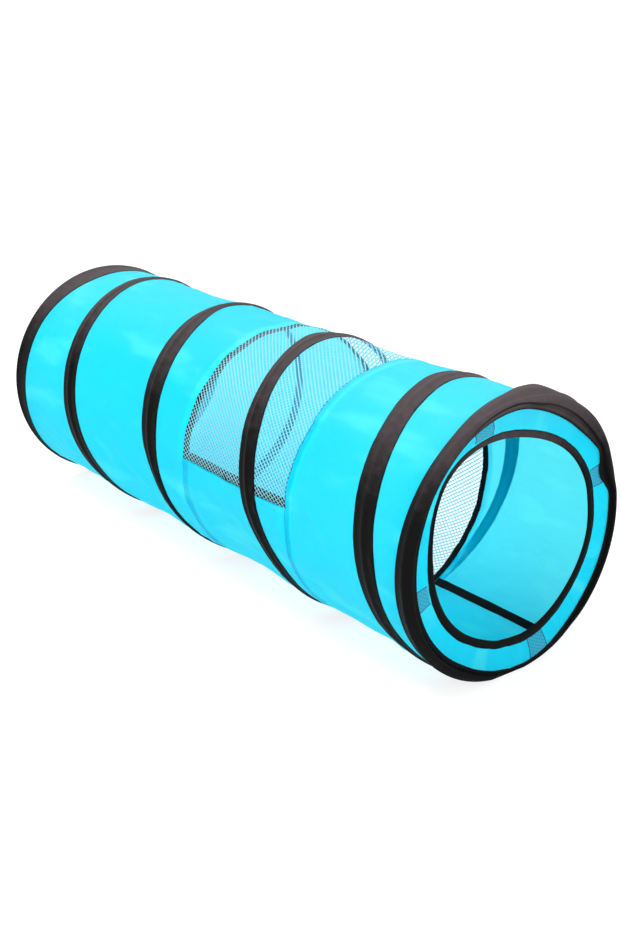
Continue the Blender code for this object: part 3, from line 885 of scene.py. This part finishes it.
def makeSeamTape(name, startX, endX, startAngle, endAngle, acrossX=False):
    stepX, stepArc = seamTape["stepAlong"], seamTape["stepAcross"]
    if acrossX:
        stepX, stepArc = stepArc, stepX
    columns = max(4, round((endX - startX) / stepX))
    rows = max(4, round((endAngle - startAngle) * skinRadius / stepArc))
    x = np.linspace(startX, endX, columns + 1)[None, :]
    angle = np.linspace(startAngle, endAngle, rows + 1)[:, None]
    if acrossX:
        x = x + seamTape["wave"] * roundNoise(0, angle, 1, 0.03, 0, startX * 5)
    points = roundPoints(x, wallRadius(x, angle) - seamTape["depth"], angle)
    arc = skinRadius * (angle - startAngle)
    across, along = (x - startX, arc) if acrossX else (arc, x)
    foldUp(gridPiece(name, "_twill", points, across, along, seamTwill))


def makeSeamTapes():
    half = seamTape["longWidth"] / 2
    before = seamTape["overlap"]
    after = seamTape["width"] - before
    nearAfter = seamTape["nearWidth"] - before
    endGap = before + seamTape["gap"]
    farEnd = farSeam + after + seamTape["gap"]
    nearEnd = nearSeam + nearAfter + seamTape["gap"]
    for name, seam, reach in (("far_seam_tape", farSeam, after), ("near_seam_tape", nearSeam, nearAfter)):
        makeSeamTape(name, seam - before, seam + reach, bottom, bottom + fullTurn, True)
    runs = {
        "far_long_seam_tape": (tunnel["farWallLeg"] - halfLength, farSeam - endGap, seamAngle, half, half),
        "mesh_long_seam_tape": (farEnd, nearSeam - endGap, seamAngle, half, half),
        "near_long_seam_tape": (nearEnd, halfLength - tunnel["nearWallLeg"], seamAngle, half, half),
        "mesh_edge_tape": (farEnd, nearSeam - endGap, lowEdge, after, before),
    }
    for name, (start, end, angle, below, above) in runs.items():
        makeSeamTape(name, start, end, angle - below / skinRadius, angle + above / skinRadius)


makeSeamTapes()
print("seam tapes made")


# End hoops' bindings. A flap lies on the wall and rises to the hoop, and the rest goes over the hoop's
# wire and down the end face to a flat lip, with a bulge and a groove above it. A size is the length
# and width of a pattern, and shares run from one edge of a leg to the other.
bindingShape = {
    "rows": 480,
    "top": 0.2277,
    "corner": 0.0026,
    "cornerInset": 0.0004,
    "bends": (20, 45, 70),
    "rearLift": 0.001,
    "rearDrop": 0.0009,
    "hug": 0.007,
    "gather": 0.0005,
    "gatherSize": (0.018, 0.06),
    "gatherShares": (0, 0.2),
    "rumple": 0.22,
    "rumpleSize": (0.04, 0.022),
    "puffShares": ((0, 0.4), (1.0, 0.7)),
    "wallShares": (0, 0.02, 0.07, 0.14, 0.22, 0.3, 0.4, 0.5, 0.6, 0.7, 0.8, 0.9, 1),
    "tail": 0.0035,
    "tailDrop": 0.0003,
    "holds": (0.0045, 0.0036),
    "faceShares": (0, 0.12, 0.25, 0.38, 0.47, 0.51, 0.545, 0.58, 0.64, 0.7, 0.8, 0.9, 0.98, 1),
    "faceInset": 0.0001,
    "faceLean": 0.0005,
    "edgeTurn": 0.0006,
    "slack": (0.012, 0.02),  # a face leg wider than these is slack enough to bulge
    "proud": 0.0014,
    "bulge": 0.0065,
    "bulgeShares": ((0, 0.3), (0.575, 0.505)),
    "groove": 0.0017,
    "grooveShare": (0.58, 0.07),
    "crease": 0.0003,
    "creaseSize": (0.022, 0.03),
    "creaseShares": ((0.1, 0.5), (1.01, 0.85)),
    "lip": 0.0088,
    "valleyForward": 0.007,
    "valleyShares": (0.4, 0.05),
    "valleyLip": 0.0015,
    "valleyLipShares": (0.6, 0.7),
    "valleyRise": 0.3,
}


# The flap on the wall and the rest over the hoop are two pieces riding with the hoop's end; the flap gets a
# mesh of its own
def makeHoopBinding(end, side, plan):
    shape = bindingShape
    angle = roundAngles(shape["rows"])
    arc = skinRadius * angle
    wallLeg, faceLeg, puff, out = (
        roundTable(plan[key], angle) / 1000 for key in ("wallLeg", "faceLeg", "puff", "out")
    )
    valley = roundTable(plan["valley"], angle)
    corner = shape["corner"]
    top = shape["top"] + out
    rear = skinRadius + shape["rearLift"]

    def pattern(size, place, seed):
        length, width = shape[size]
        return noiseAt(arc / length, place / width, side * seed)

    def layOnWall(inset, share):
        hug = np.exp(-np.clip(inset - foldClear, 0, None) / shape["hug"])
        radius = rear + (top - rear) * hug - shape["rearDrop"] * (share < 0.01)
        gather = shape["gather"] * pattern("gatherSize", inset, 5.3)
        radius = radius + gather * smooth(*shape["gatherShares"], share)
        puffed = puff * window(share, *shape["puffShares"])
        radius = radius + puffed * (1 + shape["rumple"] * pattern("rumpleSize", inset, 11.3))
        return np.stack(np.broadcast_arrays(inset, radius), -1)

    # along the wall, from the rear edge to where the hoop keeps the cloth in place
    share = np.array(shape["wallShares"])[None, :]
    wall = layOnWall(wallLeg + (foldClear - wallLeg) * share, share)

    # under the flap's front edge, then round the corner over the hoop's wire, standing forward where
    # there is a valley behind it
    tail = layOnWall(np.full_like(arc, foldClear + shape["tail"]), 1.0)
    tail[..., 1] -= shape["tailDrop"]
    hold = np.stack(np.broadcast_arrays(np.array([shape["holds"]]), top), -1)
    bend = np.radians(np.array([shape["bends"]]))
    rise = puff * shape["valleyRise"] * valley
    inset = shape["cornerInset"] + corner - (corner + shape["valleyForward"] * valley) * np.sin(bend)
    turn = np.stack([inset, top - corner + corner * np.cos(bend) + rise], -1)

    # down the end face to the inner edge, with a groove above the sewn lip
    share = np.array(shape["faceShares"])[None, :]
    outer = top - corner + rise
    radius = outer + (tunnel["hoopOuterRadius"] - faceLeg - outer) * share
    crease = pattern("creaseSize", radius, 2.9)
    full = smooth(*shape["slack"], faceLeg)
    forward = shape["proud"] - shape["edgeTurn"] * (share > 0.99)
    forward = forward - shape["groove"] * hump(share, *shape["grooveShare"])
    forward = full * (forward + shape["bulge"] * window(share, *shape["bulgeShares"]))
    forward = forward + valley * shape["valleyForward"] * smooth(*shape["valleyShares"], share)
    forward = forward + valley * shape["valleyLip"] * smooth(*shape["valleyLipShares"], share)
    inset = shape["faceInset"] + shape["faceLean"] * share - forward
    inset = inset + shape["crease"] * crease * window(share, *shape["creaseShares"])
    face = np.stack(np.broadcast_arrays(inset, radius), -1)

    profile = np.concatenate([wall, hold, turn, face], 1)
    run = np.cumsum(np.linalg.norm(np.diff(profile, axis=1), axis=-1), 1)
    run = np.concatenate([np.zeros_like(arc), run], 1)
    width = (wallLeg + faceLeg).mean()
    run = run / run[:, -1:] * width
    material = makeTwill(f"Charcoal_polyester_binding_{end}", width, shape["lip"] if side > 0 else 0)
    last = len(shape["wallShares"])
    overHoop = np.concatenate([tail, profile[:, last - 1 :]], 1)
    overRun = np.concatenate([run[:, last - 1 : last] - shape["tail"], run[:, last - 1 :]], 1)
    pieces = []
    for ending, line, across in (("_flap_twill", wall, run[:, :last]), ("_twill", overHoop, overRun)):
        points = roundPoints(side * (halfLength - line[..., 0]), line[..., 1], angle)
        piece = gridPiece(end + "_hoop_binding", ending, points, across, arc, material)
        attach(piece, end + "_end")
        pieces.append(piece)
    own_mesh(pieces[0])


makeHoopBinding("near", 1, nearBinding)
makeHoopBinding("far", -1, farBinding)
print("hoop bindings made")


# End panels, their patches and the rim
endPanel = {
    "inset": 0.00125,
    "depth": 0.003,
    "slope": (0.2005, 0.178),
    "inner": 0.1705,
    "ripple": 0.0007,
    "rippleSize": 0.02,
    "rippleLength": 0.035,
    "rippleRadii": ((0.2045, 0.19), (0.176, 0.184)),
    "grid": (14, 320),
}
patchPlan = {
    "angles": (21, 111.5, 193, 288),
    "width": 0.037,
    "middleRadius": 0.2,
    "hoopGap": 0.0015,
    "rimGap": 0.0105,
    "lift": 0.0003,
    "grid": (12, 8),
}
patchPile = makeLoopPile(patchPlan["width"])
# The near rim isn't quite round. In degrees and mm: how far it lies outwards, how far it dips into
# the tunnel, and how wide its binding is as a share of the usual width.
nearRim = {
    "out": (
        (-90, 2), (-70, 5), (-40, 2), (-10, 3.5), (10, 1.5), (20, 3), (40, 1), (60, -1.5), (70, -1.5),
        (80, 0), (90, 4), (100, 10), (110, 15.5), (120, 20.5), (130, 23), (140, 22.5), (150, 17),
        (160, 11), (170, 5.5), (180, 1.5), (200, -1.5), (220, -3.5), (240, -4.7), (250, -4.5),
        (260, -1.5), (270, 2),
    ),
    "dip": (
        (-90, 0), (80, 0), (90, 0.4), (100, 1.6), (110, 3.1), (120, 4.4), (130, 5), (140, 4.6), (150, 3.4),
        (160, 1.9), (170, 0.6), (180, 0), (270, 0),
    ),
    "width": (
        (-90, 1.1), (-70, 1.25), (-40, 1.1), (-10, 1), (20, 1), (60, 0.9), (90, 0.9), (100, 0.85),
        (110, 0.7), (130, 0.5), (140, 0.45), (160, 0.55), (170, 0.65), (180, 0.8), (200, 1), (260, 1),
        (270, 1.1),
    ),
}
farRim = {"out": noChange, "dip": noChange, "width": ((-90, 1), (270, 1))}
# A leg gives how far its cloth lies from the panel, and at what radius
rimPlan = {
    "rows": 480,
    "wireRadius": 0.0013,
    "wireHalf": 0.0028,
    "leg": ((-0.0001, 0.177), (-0.0006, 0.1769), (-0.0007, 0.1745), (-0.0022, 0.1717)),
    "inner": 0.1632,
    "wobble": 0.0008,
    "wobbleLengths": (0.03, 0.012),
    "wobbleRise": (0.164, 0.172),
}


# Out and dip in metres and width as a share, at an angle round the rim
def rimShape(side, angle):
    plan = nearRim if side > 0 else farRim
    out, dip, width = (roundTable(plan[key], angle) for key in ("out", "dip", "width"))
    return out / 1000, dip / 1000, width


def panelInset(radius):
    return endPanel["inset"] + endPanel["depth"] * smooth(*endPanel["slope"], radius)


def panelRipple(side, radius, angle):
    size = endPanel["rippleSize"]
    ripple = roundNoise(0, angle, 1, endPanel["rippleLength"], 0, 2 * side)
    ripple = ripple + 0.5 * roundNoise(radius, angle, size, size)
    return endPanel["ripple"] * ripple * window(radius, *endPanel["rippleRadii"])


# The rim's shift is nothing at the hoop and whole at the rim. The radius is given without it, and
# ahead is how far the cloth lies in front of the panel.
def panelPoints(side, radius, angle, ahead=0.0):
    inset = panelInset(radius) + panelRipple(side, radius, angle) - ahead
    out, dip, width = rimShape(side, angle)
    share = np.clip((skinRadius - radius) / (skinRadius - endPanel["inner"]), 0, 1)
    dip = dip * smooth(*endPanel["slope"], radius)
    return roundPoints(side * (halfLength - inset - dip), radius + out * share, angle)


# Bakes the piece's transform into its mesh
def bendWithRim(piece):
    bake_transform(piece)


def makeEndPanel(end, side):
    columns, rows = endPanel["grid"]
    radius = np.linspace(skinRadius, endPanel["inner"], columns + 1)[None, :]
    angle = roundAngles(rows)
    arc = skinRadius * angle
    points = panelPoints(side, radius, angle)
    piece = gridPiece(end + "_end_panel", "_taffeta", points, radius, arc, cyanTaffeta)
    bendWithRim(piece)
    return piece


def makePatch(end, side, number, degrees):
    outer, inner = skinRadius - patchPlan["hoopGap"], tunnel["rimRadius"] + patchPlan["rimGap"]
    columns, rows = patchPlan["grid"]
    radius = np.linspace(outer, inner, columns + 1)[None, :]
    across = np.linspace(-patchPlan["width"] / 2, patchPlan["width"] / 2, rows + 1)[:, None]
    angle = math.radians(degrees) + across / patchPlan["middleRadius"]
    points = panelPoints(side, radius, angle, patchPlan["lift"])
    piece = gridPiece(f"{end}_patch_{number}", "_pile", points, radius, across, patchPile)
    bendWithRim(piece)
    return piece


# Two legs lie on the panel's faces and the cloth goes round the rim's wire between them
def makeRimBinding(end, side):
    angle = roundAngles(rimPlan["rows"])
    wire = tunnel["rimRadius"]
    offset, radius = np.array(rimPlan["leg"]).T
    turned = np.radians(np.linspace(0, 180, 9))
    offset = np.concatenate([offset, -rimPlan["wireHalf"] * np.cos(turned), -offset[::-1]])
    radius = np.concatenate([radius, wire - (wire - rimPlan["inner"]) * np.sin(turned), radius[::-1]])
    run = np.cumsum(np.hypot(np.diff(offset), np.diff(radius)))
    run = np.concatenate([[0], run])[None, :]
    long, short = rimPlan["wobbleLengths"]
    wobble = roundNoise(0, angle, 1, long, 0, 4 + side) + 0.6 * roundNoise(0, angle, 1, short, 0, 8 + side)
    out, dip, width = rimShape(side, angle)
    wobble = rimPlan["wobble"] * wobble * smooth(*rimPlan["wobbleRise"], radius)
    reach = wire + (radius - wire) * width + wobble
    lean = panelInset(np.maximum(radius, endPanel["inner"]))
    points = roundPoints(side * (halfLength - lean - offset - dip), reach + out, angle)
    material = makeTwill(f"Charcoal_polyester_rim_{end}", run[0, -1])
    arc = skinRadius * angle
    piece = gridPiece(end + "_rim_binding", "_twill", points, run, arc, material)
    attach(piece, end + "_rim")


def makeRimWire(end, side):
    angle = roundAngles(rimPlan["rows"] // 2)
    out, dip, width = rimShape(side, angle)
    x = side * (halfLength - panelInset(endPanel["inner"]) - dip)
    radius = tunnel["rimRadius"]
    piece = wirePiece(end + "_rim_wire", x, radius + out, angle, rimPlan["wireRadius"], radius * angle)
    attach(piece, end + "_rim")


endPieces = {}
for end, side in (("near", 1), ("far", -1)):
    panel = makeEndPanel(end, side)
    places = enumerate(patchPlan["angles"], 1)
    patches = [makePatch(end, side, number, degrees) for number, degrees in places]
    makeRimBinding(end, side)
    makeRimWire(end, side)
    endPieces[end] = (panel, patches)
print("end panels, patches and rims made")


# The steel that stays as the frame has it
def dressSteel():
    for name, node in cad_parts.items():
        if node.hide_render:
            continue
        steel = drawnSteel if name.endswith("_wire") else crimpedSteel
        if not node.material_slots:
            node.data.materials.append(steel)
        for slot in node.material_slots:
            slot.material = steel
        print("kept from the frame:", name)


dressSteel()


# What each sheet was cut to, gathered in a list that nothing uses
def declareSheets():
    hoopAround = fullTurn * skinRadius
    floorAround = skinRadius * (seamAngle + fullTurn - lowEdge)
    sheets = (
        (farWall, (hoopAround, farSeam + halfLength), "coil_wire", [coilTape]),
        (nearWall, (hoopAround, halfLength - nearSeam), "coil_wire", ()),
        (floorPanel, (floorAround, nearSeam - farSeam), "coil_wire", ()),
    )
    ringWidth = skinRadius - endPanel["inner"]
    ringMiddle = math.pi * (skinRadius + endPanel["inner"])
    for end, (panel, patches) in endPieces.items():
        sheets += ((panel, (ringMiddle, ringWidth), end + "_hoop_wire", patches),)


declareSheets()


# Floor, light and background. The floor looks white to the camera, and the object gets its light
# back from a pale grey.
studio = {
    "floorColour": "#E2E2E2",
    "seenColour": "#949494",
    "floorGlow": 0.8,
    "floorSize": 90,
    "floorHeight": -0.0009,
    "fill": 0.93,
}
lamps = {
    "soft_sky_light": {"strength": 1.9, "spread": 26, "from": (-0.3, -0.4, 1.0)},
    "soft_front_light": {"strength": 0.9, "spread": 60, "from": (1.0, -0.35, 0.4)},
}


def makeFloor():
    bpy.ops.mesh.primitive_plane_add(size=studio["floorSize"], location=(0, 0, studio["floorHeight"]))
    floor = bpy.context.object
    floor.name = "studio_floor"
    material, add = newMaterial("Studio_paper_matt")
    seen = add("LightPath", {}).outputs["Is Camera Ray"]
    colours = {6: linearColour(studio["floorColour"]), 7: linearColour(studio["seenColour"])}
    paper = add("Mix", {0: seen, **colours}, data_type="RGBA").outputs[2]
    strength = add("Math", {0: seen, 1: studio["floorGlow"]}, operation="MULTIPLY")
    matt = add("BsdfDiffuse", {"Color": paper})
    glow = add("Emission", {"Strength": strength})
    add("OutputMaterial", {"Surface": add("AddShader", {0: matt, 1: glow})})
    floor.data.materials.append(material)


def makeAir():
    world = bpy.data.worlds.new("studio_air")
    bpy.context.scene.world = world
    world.use_nodes = True
    world.node_tree.nodes.clear()
    add = partial(addNode, world.node_tree)
    path = add("LightPath", {}).outputs
    seen = path["Is Camera Ray"]
    for kind in ("Is Glossy Ray", "Is Transmission Ray"):
        seen = add("Math", {0: seen, 1: path[kind]}, operation="MAXIMUM")
    strength = add("MapRange", {0: seen, 3: studio["fill"], 4: 1.0})
    air = add("Background", {"Color": (1, 1, 1, 1), "Strength": strength})
    add("OutputWorld", {"Surface": air})


def makeLamps():
    for name, plan in lamps.items():
        data = bpy.data.lights.new(name, "SUN")
        data.energy = plan["strength"]
        data.angle = math.radians(plan["spread"])
        turnTo(addObject(name, data), plan["from"], "Z")


makeFloor()
makeAir()
makeLamps()
bpy.context.scene.view_settings.view_transform = "Standard"
print("studio made")
